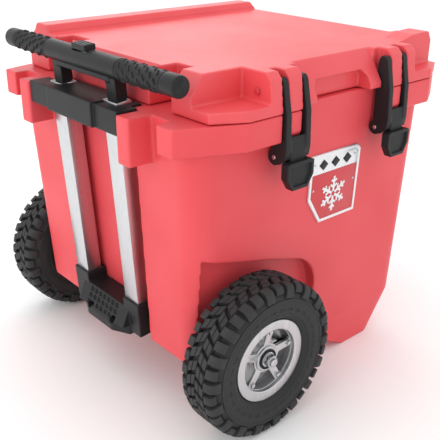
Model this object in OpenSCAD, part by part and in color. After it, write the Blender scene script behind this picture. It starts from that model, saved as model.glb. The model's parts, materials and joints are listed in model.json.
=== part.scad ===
// Hard-sided cooler on two pneumatic wheels, with a telescoping pull handle.
// X runs along the tub, from the handle end (-X) to the foot end (+X).
// -Y is the latch side, +Y is the hinge side, and Z = 0 is the ground.

/* [Tub] */
// Length of the tub wall at the parting plane, along X
tub_l = 460; // [420:1:540]
// Width of the tub wall at the parting plane, along Y
tub_w = 432; // [400:1:500]
// Height of the parting plane between tub and lid above the ground
part_z = 447; // [420:1:520]
// How far the handle-end wall stands behind the end of the lid
wall_out = 21; // [16:1:26]
// Height of the underside of the handle end above the ground
belly_z = 99; // [90:1:106]
// Corner radius of the tub wall
corner_r = 35; // [25:1:45]
// Height of the moulded rim under the parting plane
rim_h = 36; // [28:1:44]
// Thickness of the moulded skin
skin = 4; // [3:0.5:6]
// Thickness of the insulated wall from skin to skin
wall = 40; // [34:1:50]
// Depth of the deep part of the tub below its main floor
well_d = 80; // [50:1:85]

/* [Lid] */
// Length of the lid, along X
lid_l = 448; // [440:1:480]
// Height of the lid above the parting plane
lid_h = 52; // [46:1:64]
// Gap between tub and lid at the parting plane
part_gap = 1; // [0.8:0.1:2]
// Height of the ridge along the hinge side of the lid
ridge_h = 9; // [4:1:12]
// Distance of the latch side of the lid from the middle
lid_front = 241; // [236:1:256]
// Distance of the hinge side of the lid from the middle
lid_back = 215; // [210:1:230]
// Depth of the plug under the lid that enters the tub
plug_d = 10; // [6:1:16]

/* [Hinge] */
// Diameter of the hinge rod
hinge_d = 8; // [6:1:10]
// Outer radius of the hinge knuckles
knuckle_r = 11; // [10:0.5:12]
// Running clearance round turning pins, on the radius
run_gap = 0.08; // [0.05:0.01:0.1]

/* [Latches] */
// Distance of each latch from the middle of the lid
latch_x = 101; // [95:1:110]
// Width of a latch over its arms
latch_w = 44; // [40:1:48]
// Width of one latch arm
arm_w = 9; // [7:0.5:10]
// Diameter of the latch pin
latch_pin_d = 6; // [5:0.5:8]
// Height of the latch pin above the ground
latch_pin_z = 389; // [384:1:392]

/* [Handle] */
// Distance of each handle tube from the middle
tube_y = 66; // [60:1:72]
// Width of the outer handle tube, along Y
tube_w = 31.4; // [29:0.1:33]
// Depth of the outer handle tube, along X
tube_d = 24; // [22:0.1:26]
// Wall of the handle tubes
tube_t = 1.8; // [1.5:0.1:2]
// Sliding clearance between the handle tubes
slide_gap = 0.7; // [0.5:0.1:1]
// Lean of the handle away from the vertical, in degrees
handle_lean = 3.8; // [2:0.1:5]
// Diameter of the grips
grip_d = 27; // [24:1:30]
// Height of the middle of the grip bar above the ground, handle down
bar_z = 493; // [489:1:500]
// Length of the handle over its end caps
bar_l = 404; // [380:1:420]
// Travel of the release button
button_travel = 4; // [3:0.5:5]

/* [Wheels] */
// Outer diameter of the tyres
tyre_d = 228; // [216:1:232]
// Width of the tyres
tyre_w = 66; // [60:1:70]
// Distance from the middle of the tub to the middle of each tyre
track = 237; // [237:1:250]
// Diameter of the axle
axle_d = 12; // [10:1:15]
// Distance from the axle to the handle end of the lid
axle_in = 74; // [70:1:90]
// Outer radius of the rim flange
flange_r = 60.7; // [58:0.1:64]

/* [Hidden] */

$fn = 48;
hull_fn = 32;
eps = 0.5;
fit_gap = 0.1;
screw_r = 2.4;
head_r = 5;

// The origin stands under the middle of the whole length, so everything is built round the lid's middle and shifted.
half_lid = lid_l / 2;
bracket_front = 57;
reach = half_lid + bracket_front;
origin_x = (reach - half_lid) / 2;
lid_z = part_z + part_gap / 2;
tub_z = part_z - part_gap / 2;
lid_top = part_z + lid_h;

// Outer tub block: the far wall, the break in the wall and the foot
x_near = -half_lid - wall_out;
x_far = x_near + tub_l;
y_wall = tub_w / 2;
near_lean = 20;
foot_in = 42;
break_z = 75;
break_in = 16;
base_in = 26;
base_r = corner_r - 9;
mouth_in = 84;
mouth_r = 23;
mouth_l = x_far - wall + 3 - (x_near + mouth_in);
mouth_w = tub_w - 2 * (wall + 18);
mouth_x = x_near + mouth_in + mouth_l / 2;
floor_z = belly_z + wall;
well_z = floor_z - well_d;
step_x0 = x_near + 165;
step_x1 = x_near + 339;
deep_x0 = step_x1 - 34;
inner_draft = 8;

// Rim
rim_z = part_z - rim_h;
rim_y = lid_front;
corner_x = half_lid + 43;
corner_y0 = tub_w / 2 - 42;
corner_y1 = tub_w / 2 - 12;
cham_x = half_lid - 43;
cham_y = lid_front - 23;
guard_y0 = 110;
guard_y1 = 136;
guard_x = half_lid + bracket_front - 1;
guard_z = part_z - 62;
slot_back = 25;
recess_y = 95;

// Latches
latch_y = -y_wall - 9.5;
slot_gap = 1.5;
tongue_w = latch_w - 2 * arm_w - 4;
boss_r = 9;
latch_front = -lid_front - 4;
arm_back = latch_y + 4.5;
arm_top = lid_top - 9;
pull_z0 = latch_pin_z - 40;
pull_z1 = latch_pin_z - 3;
slot_y = arm_back + 8;

// Lid
notch_x = 143;
notch_y = 186;
far_notch_y = 206;
far_rise = 7;
far_rise_x = half_lid - 44;
notch_z = part_z + 14;
side_notch = [103, 148];
side_notch_x = half_lid - 46;
panel_y = 144;
panel_d = 4;
ridge_w = 34;
middle_x = latch_x - latch_w / 2 - slot_gap;
finger_w = 108;
finger_h = 27;
plug_gap = 3;
gasket_w = 7;
gasket_h = 4;
gasket_in = 4;
stud_z = notch_z + 13;

// Hinge
hinge_y = lid_back + 13;
hinge_z = part_z;
knuckle_half = 180;
knuckle_a = 30;
knuckle_b = 130;

// Handle frame: its origin is on the tube centre line at the height of the socket mouths
socket_top = belly_z + 56;
lean_x = sin(handle_lean) / cos(handle_lean);
bar_x = -half_lid - 26.2;
tube_x = bar_x + (bar_z - socket_top) * lean_x;
w_of_bar = (bar_z - socket_top) / cos(handle_lean);
bracket_z0 = part_z - 29;
bracket_z1 = part_z + 2;
bracket_y = guard_y0 - 1.5;
bolt_y = 30;
outer_w0 = -50;
outer_w1 = (bracket_z1 + 2.5 - socket_top) / cos(handle_lean);
middle_w = tube_w - 2 * (tube_t + slide_gap);
middle_d = tube_d - 2 * (tube_t + slide_gap);
inner_w = middle_w - 2 * (tube_t + slide_gap);
inner_d = middle_d - 2 * (tube_t + slide_gap);
middle_w0 = outer_w0 + 3;
middle_w1 = outer_w1 - 1;
inner_w0 = middle_w0 + 4;
inner_w1 = outer_w1 - 3;
housing_half = 86;
leg_w = inner_w - 0.2;
leg_front = 7.5;
leg_back = 10;
core_d = 16;
grip_end = bar_l / 2;
cap_l = 26;
cap_edge = 3;
button_l = 32;
button_up = 3;
button_w = 17;
rod_d = 4;
pin_up = 40;

// Wheels
axle_x = -half_lid + axle_in;
axle_z = tyre_d / 2;
well_front = 146;
well_back = 71;
well_rise = 129;
well_slope = 0.294;
well_round = 60;
well_y = track - tyre_w / 2 - 18;
seat_r = flange_r - 9.7;
rim_half = 25;
hub_r = 17;
bearing_d = 28;
bearing_w = 8;
bearing_s = 14;
rim_t = 3;
spoke_n = 5;
bolt_ring = 41;
axle_half = track + rim_half + 7;

// Foot step
step_front = 40;
step_lip = -reach + 26;
step_z0 = belly_z - 4;

// Badge
badge_w = 105;
badge_h = 106;
badge_t = 1.2;
badge_x = 14;
badge_mid_z = part_z - 133;
badge_cut = [27, 40];
badge_nip = 8;
wall_lean = break_in / (part_z - break_z);

// Drain
drain_z = 76;
drain_bore = 24;
drain_x = mouth_x + mouth_l / 2 - inner_draft - 1;
drain_seat = x_far - 1.4;
drain_flange = 4;

module place() {
    translate([origin_x, 0, 0]) children();
}

// A prism whose outline lies in the YZ plane, from x0 to x1
module along_x(x0, x1) {
    translate([x0, 0, 0]) rotate([90, 0, 90]) linear_extrude(x1 - x0) children();
}

// A prism whose outline lies in the XZ plane, from y0 to y1
module along_y(y0, y1) {
    translate([0, y1, 0]) rotate([90, 0, 0]) linear_extrude(y1 - y0) children();
}

// A box given by its lowest and highest corners
module span(low, high) {
    translate(low) cube(high - low);
}

module both_sides() {
    children();
    mirror([0, 1, 0]) children();
}

module both_latches() {
    for (s = [-1, 1]) translate([s * latch_x, 0, 0]) children();
}

// ---- tub ----

// One level of the tub block: four corner discs
module block_level(x0, x1, half, z, r) {
    for (x = [x0 + r, x1 - r], y = [-half + r, half - r])
        translate([x, y, z]) cylinder(r = r, h = 0.02, $fn = hull_fn);
}

// The drafted tub block, shrunk all round by inset
module tub_block(inset, top) {
    hull() {
        block_level(x_near + near_lean + inset, x_far - foot_in - inset, y_wall - base_in - inset, inset,
            base_r - inset);
        block_level(x_near + near_lean + inset, x_far - 2 - inset, y_wall - break_in - inset, break_z,
            corner_r - inset);
        block_level(x_near + inset, x_far - inset, y_wall - inset, top, corner_r - inset);
    }
}

// What lies under the handle end, between the belly and the foot
module belly_cut(drop) {
    along_y(-tub_w, tub_w)
        polygon([[x_near - wall, -wall], [step_x1 + drop, -wall], [step_x1 + drop, 0],
            [step_x0 + drop, belly_z + drop], [x_near - wall, belly_z + drop]]);
}

// The storage space, grown all round by grow
module tub_space(grow) {
    x0 = mouth_x - mouth_l / 2 - grow;
    x1 = mouth_x + mouth_l / 2 + grow;
    half = mouth_w / 2 + grow;
    hull() {
        block_level(x0 + inner_draft, x1 - inner_draft, half - inner_draft, floor_z - grow, mouth_r);
        block_level(x0, x1, half, part_z + wall, mouth_r);
    }
    hull() {
        block_level(deep_x0 - grow, x1 - inner_draft - 4, half - inner_draft - 6, well_z - grow, mouth_r);
        block_level(deep_x0 - grow, x1 - inner_draft - 2, half - inner_draft - 3, floor_z + 1, mouth_r);
    }
}

// The recessed panel behind the handle tubes
module handle_recess(grow) {
    translate([grow, 0, 0]) along_y(-recess_y - grow, recess_y + grow)
        polygon([[-reach - wall, belly_z - wall], [recess_x(belly_z - wall), belly_z - wall],
            [recess_x(part_z + wall), part_z + wall], [-reach - wall, part_z + wall]]);
}

function recess_x(z) = tube_x + tube_d / 2 + 8 - (z - socket_top) * lean_x;

// One front or back corner of the rim, on the handle side
module rim_corner() {
    translate([0, 0, rim_z]) linear_extrude(tub_z - rim_z)
        polygon([[-corner_x, -corner_y0], [-corner_x, -corner_y1], [-cham_x, -rim_y],
            [-latch_x - latch_w / 2 - slot_gap, -rim_y], [-latch_x - latch_w / 2 - slot_gap, -y_wall + wall / 2],
            [x_near + wall, -corner_y0]]);
}

module rim_far_corner() {
    translate([0, 0, rim_z]) linear_extrude(tub_z - rim_z)
        polygon([[latch_x + latch_w / 2 + slot_gap, -rim_y], [cham_x, -rim_y], [half_lid - 2, -cham_y],
            [half_lid - 2, 0], [x_far - wall / 2, 0], [x_far - wall, -y_wall + wall / 2],
            [latch_x + latch_w / 2 + slot_gap, -y_wall + wall / 2]]);
}

// The hinge side of the rim has no latches, so it is a plain band
module rim_back() {
    translate([0, 0, rim_z]) linear_extrude(tub_z - rim_z)
        polygon([[-corner_x, corner_y0], [-corner_x, corner_y1], [-half_lid, lid_back], [half_lid - 2, lid_back],
            [half_lid - 2, -1], [x_far - wall, -1], [x_far - wall, y_wall - wall / 2],
            [x_near + wall, y_wall - wall / 2], [x_near + wall, corner_y0]]);
}

module guard() {
    span([-guard_x, -guard_y1, guard_z], [x_near + slot_back, -guard_y0, tub_z]);
}

// Boss that carries a latch pin and the tongue between the latch arms
module latch_boss() {
    along_x(-tongue_w / 2, tongue_w / 2) union() {
        translate([latch_y, latch_pin_z]) circle(boss_r);
        polygon([[latch_y, latch_pin_z - boss_r], [-y_wall + wall / 2, latch_pin_z - boss_r],
            [-y_wall + wall / 2, tub_z], [-rim_y, tub_z], [-rim_y, rim_z + 10],
            [latch_y - boss_r, rim_z], [latch_y - boss_r, latch_pin_z]]);
    }
}

module tub_knuckle(x0, x1) {
    along_x(x0, x1) union() {
        translate([hinge_y, hinge_z]) circle(knuckle_r);
        polygon([[lid_back - wall / 2, rim_z], [lid_back, rim_z], [hinge_y + knuckle_r * 0.7, hinge_z - knuckle_r * 0.7],
            [hinge_y, hinge_z - 1], [lid_back, tub_z], [lid_back - wall / 2, tub_z]]);
    }
}

module fill_holes(r) {
    for (y = [-90, 90]) translate([step_x0 - 40, y, belly_z - eps]) cylinder(r = r, h = skin + 2 * eps);
}

// Boss that gives the drain fitting a flat seat on the sloping wall
module drain_boss() {
    translate([x_far - wall / 2, 0, drain_z]) rotate([0, 90, 0]) cylinder(d = drain_bore + 18, h = drain_seat - x_far + wall / 2);
}

module drain_hole(r) {
    translate([x_far + 5, 0, drain_z]) rotate([0, -90, 0]) cylinder(r = r, h = wall + 20);
}

// Flat seat for the drain nut on the inside of the tub
module drain_face(grow) {
    translate([drain_x + grow, 0, drain_z]) rotate([0, -90, 0]) cylinder(d = drain_bore + 16 + 2 * grow, h = wall);
}

// Outline of a wheel well from the side: a sloping roof that rounds down at the foot end
module well_outline() {
    end_x = axle_x + well_front;
    start_x = axle_x - tyre_d;
    intersection() {
        offset(r = well_round, $fn = 96) offset(delta = -well_round)
            polygon([[start_x, -tyre_d], [end_x, -tyre_d], [end_x, axle_z + well_rise - well_front * well_slope],
                [start_x, axle_z + well_rise + tyre_d * well_slope]]);
        translate([axle_x - well_back, -tyre_d]) square([well_front + well_back, 3 * tyre_d]);
    }
}

module wheel_wells(grow) {
    both_sides() along_y(-tub_w, grow - well_y) offset(delta = grow) well_outline();
}

module tub_solid() {
    difference() {
        union() {
            tub_block(0, tub_z);
            rim_corner();
            rim_far_corner();
            rim_back();
            both_sides() guard();
            both_latches() latch_boss();
            drain_boss();
        }
        belly_cut(0);
        handle_recess(0);
        wheel_wells(0);
    }
}

module foam_space() {
    difference() {
        tub_block(skin, tub_z - skin);
        belly_cut(skin);
        handle_recess(skin);
        wheel_wells(skin);
        tub_space(skin);
        span([axle_x - axle_d, -tub_w, belly_z - 1], [axle_x + axle_d, tub_w, axle_z + axle_d / 2 + 2 * skin]);
        drain_hole(drain_bore / 2 + skin);
        for (x = [-1, 1], y = [-1, 1])
            translate([axle_x + x * 26, y * 150, belly_z]) cylinder(r = 7, h = 24);
        bracket_bolts(6, 22);
        step_bolts(6, 22);
        drain_face(skin);
    }
}

module tub_shell() {
    color("#e8535a") place() difference() {
        union() {
            tub_solid();
            for (k = [[-knuckle_half, -knuckle_b], [-knuckle_a, knuckle_a], [knuckle_b, knuckle_half]])
                tub_knuckle(k[0], k[1]);
        }
        foam_space();
        tub_space(0);
        drain_face(0);
        drain_hole(drain_bore / 2 + fit_gap);
        fill_holes(8);
        translate([-knuckle_half - 1, hinge_y, hinge_z]) rotate([0, 90, 0])
            cylinder(d = hinge_d + fit_gap, h = 2 * knuckle_half + 2);
        both_latches() translate([-tongue_w, latch_y, latch_pin_z]) rotate([0, 90, 0])
            cylinder(d = latch_pin_d + fit_gap, h = 2 * tongue_w);
        span([axle_x - axle_d / 2 - 1, -tub_w, belly_z - 1], [axle_x + axle_d / 2 + 1, tub_w, axle_z]);
        translate([axle_x, -tub_w, axle_z]) rotate([-90, 0, 0]) cylinder(d = axle_d + 2, h = 2 * tub_w);
        strap_bolts(2.5, 18);
        step_bolts(2.5, 18);
        bracket_bolts(2.5, 18);
        badge_pins(1.6, skin - 1);
    }
}

module tub_foam() {
    color("#f2e6b8") place() foam_space();
}

module tub_fill_plugs() {
    color("#c9434a") place() for (y = [-90, 90]) translate([step_x0 - 40, y, belly_z - 2]) union() {
        cylinder(r = 8 - fit_gap, h = skin + 2 - fit_gap);
        cylinder(r = 11, h = 2);
    }
}

// ---- drain ----

module drain_fitting() {
    color("#22262a") place() difference() {
        translate([drain_seat, 0, drain_z]) rotate([0, 90, 0]) union() {
            translate([0, 0, drain_x - x_far - 6]) cylinder(d = drain_bore, h = x_far - drain_x + 8);
            cylinder(d = drain_bore + 14, h = drain_flange);
        }
        translate([drain_x - 10, 0, drain_z]) rotate([0, 90, 0]) cylinder(d = drain_bore - 6, h = 2 * wall);
    }
}

module drain_seal() {
    color("#111111") place() translate([drain_x - 2, 0, drain_z]) rotate([0, 90, 0]) difference() {
        cylinder(d = drain_bore + 10, h = 2);
        translate([0, 0, -1]) cylinder(d = drain_bore + fit_gap, h = 4);
    }
}

module drain_nut() {
    color("#22262a") place() translate([drain_x - 2, 0, drain_z]) rotate([0, -90, 0]) difference() {
        cylinder(d = drain_bore + 12, h = 5, $fn = 6);
        translate([0, 0, -1]) cylinder(d = drain_bore + fit_gap, h = 7);
    }
}

module drain_plug() {
    color("#1b1e21") place() translate([drain_seat + drain_flange, 0, drain_z]) rotate([0, 90, 0]) union() {
        translate([0, 0, -20]) cylinder(d = drain_bore - 9, h = 21);
        translate([0, 0, 0.4]) cylinder(d = drain_bore + 6, h = 4);
        span([-drain_bore / 2 + 2, -2.5, 4], [drain_bore / 2 - 2, 2.5, 6]);
    }
}

module drain_plug_ring() {
    color("#111111") place() translate([drain_seat + drain_flange, 0, drain_z]) rotate([0, 90, 0]) difference() {
        translate([0, 0, -8]) cylinder(d = drain_bore - 6.3, h = 2);
        translate([0, 0, -9]) cylinder(d = drain_bore - 9 + fit_gap, h = 4);
    }
}

// ---- lid ----

// Plan outline of the lid, with cut front corners
module lid_outline(inset) {
    polygon([[-half_lid + inset, -cham_y + inset / 2], [-cham_x, -lid_front + inset], [cham_x, -lid_front + inset],
        [half_lid - inset, -cham_y + inset / 2], [half_lid - inset, lid_back - 14], [half_lid - 14, lid_back - inset],
        [-half_lid + 14, lid_back - inset], [-half_lid + inset, lid_back - 14]]);
}

// Outline of the lid seen from its end, leaning back on the latch side, with the ridge over the hinge
module lid_side() {
    polygon([[-lid_front, lid_z], [-lid_front + 5, lid_top - 9], [-lid_front + 13, lid_top], [lid_back - ridge_w - 6, lid_top],
        [lid_back - ridge_w, lid_top + ridge_h], [lid_back - 3, lid_top + ridge_h], [lid_back, lid_top + ridge_h - 4],
        [lid_back, lid_z]]);
}

// Outline of the lid seen from the latch side
module lid_face() {
    polygon([[-half_lid, lid_z], [-half_lid, lid_top - 24], [-half_lid + 18, lid_top], [-half_lid + 20, lid_top + ridge_h],
        [half_lid - 8, lid_top + ridge_h], [half_lid, lid_top - 6], [half_lid, lid_z]]);
}

module latch_slots() {
    both_latches() for (s = [-1, 1])
        span([min(s * (tongue_w / 2 + 0.5), s * (latch_w / 2 + slot_gap)), -lid_front - 9, lid_z - 9],
            [max(s * (tongue_w / 2 + 0.5), s * (latch_w / 2 + slot_gap)), slot_y, lid_top + ridge_h + 1]);
}

module lid_block() {
    difference() {
        intersection() {
            translate([0, 0, lid_z]) linear_extrude(lid_h + ridge_h) lid_outline(0);
            along_x(-half_lid, half_lid) lid_side();
            along_y(-lid_front - 1, lid_back + 1) lid_face();
        }
        latch_slots();
        span([-half_lid - 9, -lid_front - 9, notch_z], [-notch_x, -notch_y, lid_top + ridge_h + 1]);
        span([notch_x, -lid_front - 9, notch_z], [half_lid + 9, -far_notch_y, lid_top + ridge_h + 1]);
        both_sides() span([-half_lid - 9, side_notch[0], lid_z - 1], [-side_notch_x, side_notch[1], lid_top + 1]);
        along_x(-middle_x, middle_x) polygon([[-lid_front - 20, lid_z - 9], [-lid_front + 9, lid_z - 9],
            [-lid_front + 9, lid_z + 8], [-lid_front + 19, lid_z + 24], [-lid_front + 37, lid_top + 0.5],
            [-lid_front - 20, lid_top + 0.5]]);
        along_y(-lid_front - 9, -lid_front + 33) polygon([[-finger_w / 2, lid_z - 9], [finger_w / 2, lid_z - 9],
            [finger_w / 2, lid_z + finger_h - 9], [finger_w / 2 - 9, lid_z + finger_h],
            [-finger_w / 2 + 9, lid_z + finger_h], [-finger_w / 2, lid_z + finger_h - 9]]);
        span([-half_lid + 18, -panel_y, lid_top - panel_d], [half_lid + 1, lid_back - ridge_w - 6, lid_top + eps]);
    }
}

module lid_plug(shrink) {
    l = mouth_l - 2 * (plug_gap + mouth_r);
    w = mouth_w - 2 * (plug_gap + mouth_r);
    translate([mouth_x, 0, lid_z - plug_d + shrink]) linear_extrude(plug_d + skin + 3 - shrink)
        offset(r = mouth_r - shrink) square([l, w], center = true);
}

module lid_foam_space() {
    union() {
        span([-half_lid + 52, -notch_y + skin + 2, lid_z + skin + 2],
            [half_lid - 10, lid_back - ridge_w - 6, lid_top - panel_d - skin]);
        lid_plug(skin);
    }
}

module gasket_ring(w, h) {
    x0 = mouth_x - mouth_l / 2 - gasket_in;
    x1 = mouth_x + mouth_l / 2 + gasket_in;
    y1 = mouth_w / 2 + gasket_in;
    difference() {
        span([x0 - w, -y1 - w, lid_z - 0.6], [x1 + w, y1 + w, lid_z - 0.6 + h]);
        span([x0, -y1, lid_z - 2], [x1, y1, lid_z + h + 1]);
    }
}

module lid_knuckle(x0, x1) {
    along_x(x0, x1) union() {
        translate([hinge_y, hinge_z]) circle(knuckle_r);
        polygon([[lid_back - 2, lid_z], [hinge_y, hinge_z + 1], [hinge_y + knuckle_r * 0.7, hinge_z + knuckle_r * 0.7],
            [lid_back, lid_z + 30], [lid_back - 2, lid_z + 30]]);
    }
}

module lid_fill_hole(r) {
    translate([0, 0, lid_z - plug_d - 1]) cylinder(r = r, h = skin + 1);
}

// The front strip of the lid rises towards its far end
module far_rise_block() {
    along_y(-far_notch_y, -panel_y - 26)
        polygon([[notch_x + 8, lid_top - 6], [half_lid - 5, lid_top - 6], [half_lid - 5, lid_top + far_rise - 3],
            [half_lid - 8, lid_top + far_rise], [far_rise_x, lid_top + far_rise - 1], [notch_x + 8, lid_top - 1]]);
}

module lid_shell() {
    color("#ef6066") place() difference() {
        union() {
            lid_block();
            far_rise_block();
            lid_plug(0);
            lid_knuckle(-knuckle_b + 1, -knuckle_a - 1);
            lid_knuckle(knuckle_a + 1, knuckle_b - 1);
        }
        lid_foam_space();
        gasket_ring(gasket_w, gasket_h);
        lid_fill_hole(8);
        translate([-knuckle_half, hinge_y, hinge_z]) rotate([0, 90, 0])
            cylinder(d = hinge_d + 2 * run_gap, h = 2 * knuckle_half);
        stud_bores();
    }
}

module stud_bores() {
    for (s = [-1, 1]) translate([s * (notch_x - 12), -lid_front + 27, stud_z]) rotate([0, s * 90, 0])
        cylinder(d = 5, h = 14);
}

module lid_foam() {
    color("#f2e6b8") place() lid_foam_space();
}

module lid_fill_plug() {
    color("#c9434a") place() intersection() {
        lid_fill_hole(8);
        translate([0, 0, lid_z - plug_d]) cylinder(r = 9, h = skin);
    }
}

module lid_gasket() {
    color("#2b2b2d") place() gasket_ring(gasket_w, gasket_h);
}

module lid_studs() {
    color("#c9434a") place() for (s = [-1, 1]) translate([s * (notch_x - 12), -lid_front + 27, stud_z])
        rotate([0, s * 90, 0]) union() {
            cylinder(d = 5, h = 14);
            translate([0, 0, 12]) cylinder(d = 9, h = 3);
        }
}

module hinge_rod() {
    color("#b9bdc1") place() translate([-knuckle_half, hinge_y, hinge_z]) rotate([0, 90, 0])
        cylinder(d = hinge_d, h = 2 * knuckle_half);
}

// ---- latches ----

// Side plate of a latch: an eye round the pin, a cheek and the arm that stands in the slot of the lid
module latch_side() {
    union() {
        translate([latch_y, latch_pin_z]) circle(arm_back - latch_y + boss_r - 3);
        polygon([[latch_y, latch_pin_z - 9], [latch_y - boss_r, latch_pin_z - 8], [latch_front, latch_pin_z],
            [latch_front - 2, latch_pin_z + 12], [latch_front, part_z], [latch_front + 8, arm_top - 5],
            [latch_front + 12, arm_top], [arm_back - 5, arm_top], [arm_back - 1, arm_top - 6], [arm_back, part_z],
            [arm_back, latch_pin_z]]);
    }
}

module latch_frame(x) {
    color("#26292c") place() translate([x, 0, 0]) difference() {
        union() {
            for (s = [-1, 1]) along_x(s < 0 ? -latch_w / 2 : latch_w / 2 - arm_w, s < 0 ? -latch_w / 2 + arm_w : latch_w / 2)
                latch_side();
            along_x(-latch_w / 2 + arm_w - 1, latch_w / 2 - arm_w + 1)
                polygon([[latch_front - 2, latch_pin_z + 8], [latch_front + 0.5, latch_pin_z + 28],
                    [latch_front + 6, latch_pin_z + 28], [latch_front + 6, latch_pin_z + 22],
                    [latch_y - boss_r - 1.5, latch_pin_z + 20], [latch_y - boss_r - 1.5, latch_pin_z + 8]]);
            along_x(-latch_w / 2 + arm_w, latch_w / 2 - arm_w)
                polygon([[latch_front - 2, latch_pin_z + 9], [latch_y - boss_r - 1.5, latch_pin_z + 9],
                    [latch_y - boss_r - 1.5, latch_pin_z - 4], [latch_front + 1, pull_z0 + 4],
                    [latch_front - 3, pull_z0 + 4]]);
        }
        translate([-latch_w, latch_y, latch_pin_z]) rotate([0, 90, 0])
            cylinder(d = latch_pin_d + 2 * run_gap, h = 2 * latch_w);
    }
}

module latch_pull(x) {
    color("#1d2023") place() translate([x, 0, 0]) difference() {
        along_y(latch_front - 8, latch_front + 4)
            polygon([[-latch_w / 2 - 2, pull_z1 - 2], [-latch_w / 2 + 2, pull_z1], [latch_w / 2 - 2, pull_z1],
                [latch_w / 2 + 2, pull_z1 - 2], [latch_w / 2 + 2, pull_z0 + 16], [latch_w / 2 - 8, pull_z0],
                [-latch_w / 2 + 8, pull_z0], [-latch_w / 2 - 2, pull_z0 + 16]]);
        along_x(-latch_w / 2 + arm_w, latch_w / 2 - arm_w)
            polygon([[latch_front - 2, latch_pin_z + 9], [latch_y - boss_r - 1.5, latch_pin_z + 9],
                [latch_y - boss_r - 1.5, latch_pin_z - 4], [latch_front + 1, pull_z0 + 4],
                [latch_front - 3, pull_z0 + 4]]);
        along_y(latch_front - 12, latch_front - 5)
            polygon([[-latch_w / 2 + 3, pull_z1 - 5], [latch_w / 2 - 3, pull_z1 - 5], [latch_w / 2 - 3, pull_z0 + 17],
                [latch_w / 2 - 10, pull_z0 + 5], [-latch_w / 2 + 10, pull_z0 + 5], [-latch_w / 2 + 3, pull_z0 + 17]]);
    }
}

module latch_pin(x) {
    color("#c8ccd0") place() translate([x - latch_w / 2 - 1, latch_y, latch_pin_z]) rotate([0, 90, 0])
        cylinder(d = latch_pin_d, h = latch_w + 2);
}

// ---- badge ----

module badge_outline(inset) {
    w = badge_w / 2 - inset;
    h = badge_h / 2 - inset;
    polygon([[-w, h], [w - badge_nip, h], [w, h - badge_nip], [w, -h], [-w + badge_cut[0], -h], [-w, -h + badge_cut[1]]]);
}

// Lays a shape drawn in XZ flat on the latch-side wall
module on_front() {
    z0 = badge_mid_z;
    translate([badge_x, -y_wall + (part_z - z0) * wall_lean, z0]) rotate([atan(wall_lean), 0, 0]) children();
}

module badge_pins(r, deep) {
    on_front() for (x = [-1, 1], z = [0, badge_h / 2 - 15]) translate([x * (badge_w / 2 - 10), deep, z]) rotate([90, 0, 0])
        cylinder(r = r, h = deep + 2);
}

module badge_plate() {
    color("#e9eaec") place() difference() {
        on_front() along_y(-badge_t, -0.05) badge_outline(0);
        badge_pins(1.6, skin - 1);
    }
}

module badge_rivets() {
    color("#d5d8db") place() badge_pins(1.6, skin - 1);
}

// ---- handle ----

// Frame of the handle tubes: Z runs along the tubes, and 0 is at the socket mouths
module lean() {
    translate([tube_x, 0, socket_top]) rotate([0, -handle_lean, 0]) children();
}

module tube(w, d, t, z0, z1, y) {
    lean() difference() {
        span([-d / 2, y - w / 2, z0], [d / 2, y + w / 2, z1]);
        span([-d / 2 + t, y - w / 2 + t, z0 - 1], [d / 2 - t, y + w / 2 - t, z1 + 1]);
    }
}

module outer_tube(y) {
    color("#dfe2e5") place() tube(tube_w, tube_d, tube_t, outer_w0, outer_w1, y);
}

module middle_tube(y) {
    color("#d3d6da") place() tube(middle_w, middle_d, tube_t, middle_w0, middle_w1, y);
}

module inner_tube(y) {
    color("#d3d6da") place() difference() {
        tube(inner_w, inner_d, tube_t, inner_w0, inner_w1, y);
        lean() translate([0, y, inner_w0 + pin_up]) rotate([y > 0 ? -90 : 90, 0, 0]) cylinder(d = rod_d + 2, h = inner_w);
    }
}

// Plastic blocks at the foot of a stage that slide in the tube outside it
module glides(w, d, t, z0) {
    for (s = [-1, 1]) lean()
        span([-d / 2 + t, s * tube_y - w / 2 + t, z0 - 2], [d / 2 - t, s * tube_y + w / 2 - t, z0 + 1]);
}

module middle_glides() {
    color("#1b1e21") place() difference() {
        glides(middle_w, middle_d, tube_t, middle_w0);
        glides(middle_w - 8, middle_d - 6, tube_t, middle_w0);
    }
}

module inner_glides() {
    color("#1b1e21") place() glides(inner_w, inner_d, tube_t, inner_w0);
}

module bracket_bolts(r, deep) {
    for (y = [-bolt_y, bolt_y]) translate([recess_x(bracket_z0 + 14) + deep, y, bracket_z0 + 14])
        rotate([0, -90, 0]) cylinder(r = r, h = deep + 12);
}

module handle_bracket() {
    color("#24272a") place() difference() {
        union() {
            span([-reach, -tube_y + 10, bracket_z0], [recess_x(bracket_z1) - 2, tube_y - 10, bracket_z1 + 2]);
            span([-reach + 4, -recess_y + 1, bracket_z0], [recess_x(bracket_z1) - 2, recess_y - 1, bracket_z1]);
            span([-reach + 4, -bracket_y, bracket_z0], [x_near - 1.5, bracket_y, bracket_z1]);
        }
        for (s = [-1, 1]) lean()
            span([-tube_d / 2 - 0.1, s * tube_y - tube_w / 2 - 0.1, 100], [tube_d / 2 + 0.1, s * tube_y + tube_w / 2 + 0.1, 500]);
        span([-reach + 14, -tube_y + tube_w / 2 + 6, bracket_z0 - 1],
            [recess_x(bracket_z1) - 8, tube_y - tube_w / 2 - 6, bracket_z1 - 4]);
        bracket_bolts(2.6, 18);
    }
}

module bracket_screws() {
    color("#3a3d40") place() for (y = [-bolt_y, bolt_y]) translate([recess_x(bracket_z1) - 8, y, bracket_z0 + 14])
        rotate([0, 90, 0]) union() {
            translate([0, 0, -3]) cylinder(r = head_r, h = 3);
            translate([0, 0, -1]) cylinder(r = screw_r, h = 26);
        }
}

module step_bolts(r, deep) {
    for (y = [-bolt_y, bolt_y]) translate([recess_x(step_z0 + 16) + deep, y, step_z0 + 16])
        rotate([0, -90, 0]) cylinder(r = r, h = deep + 22);
}

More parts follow.
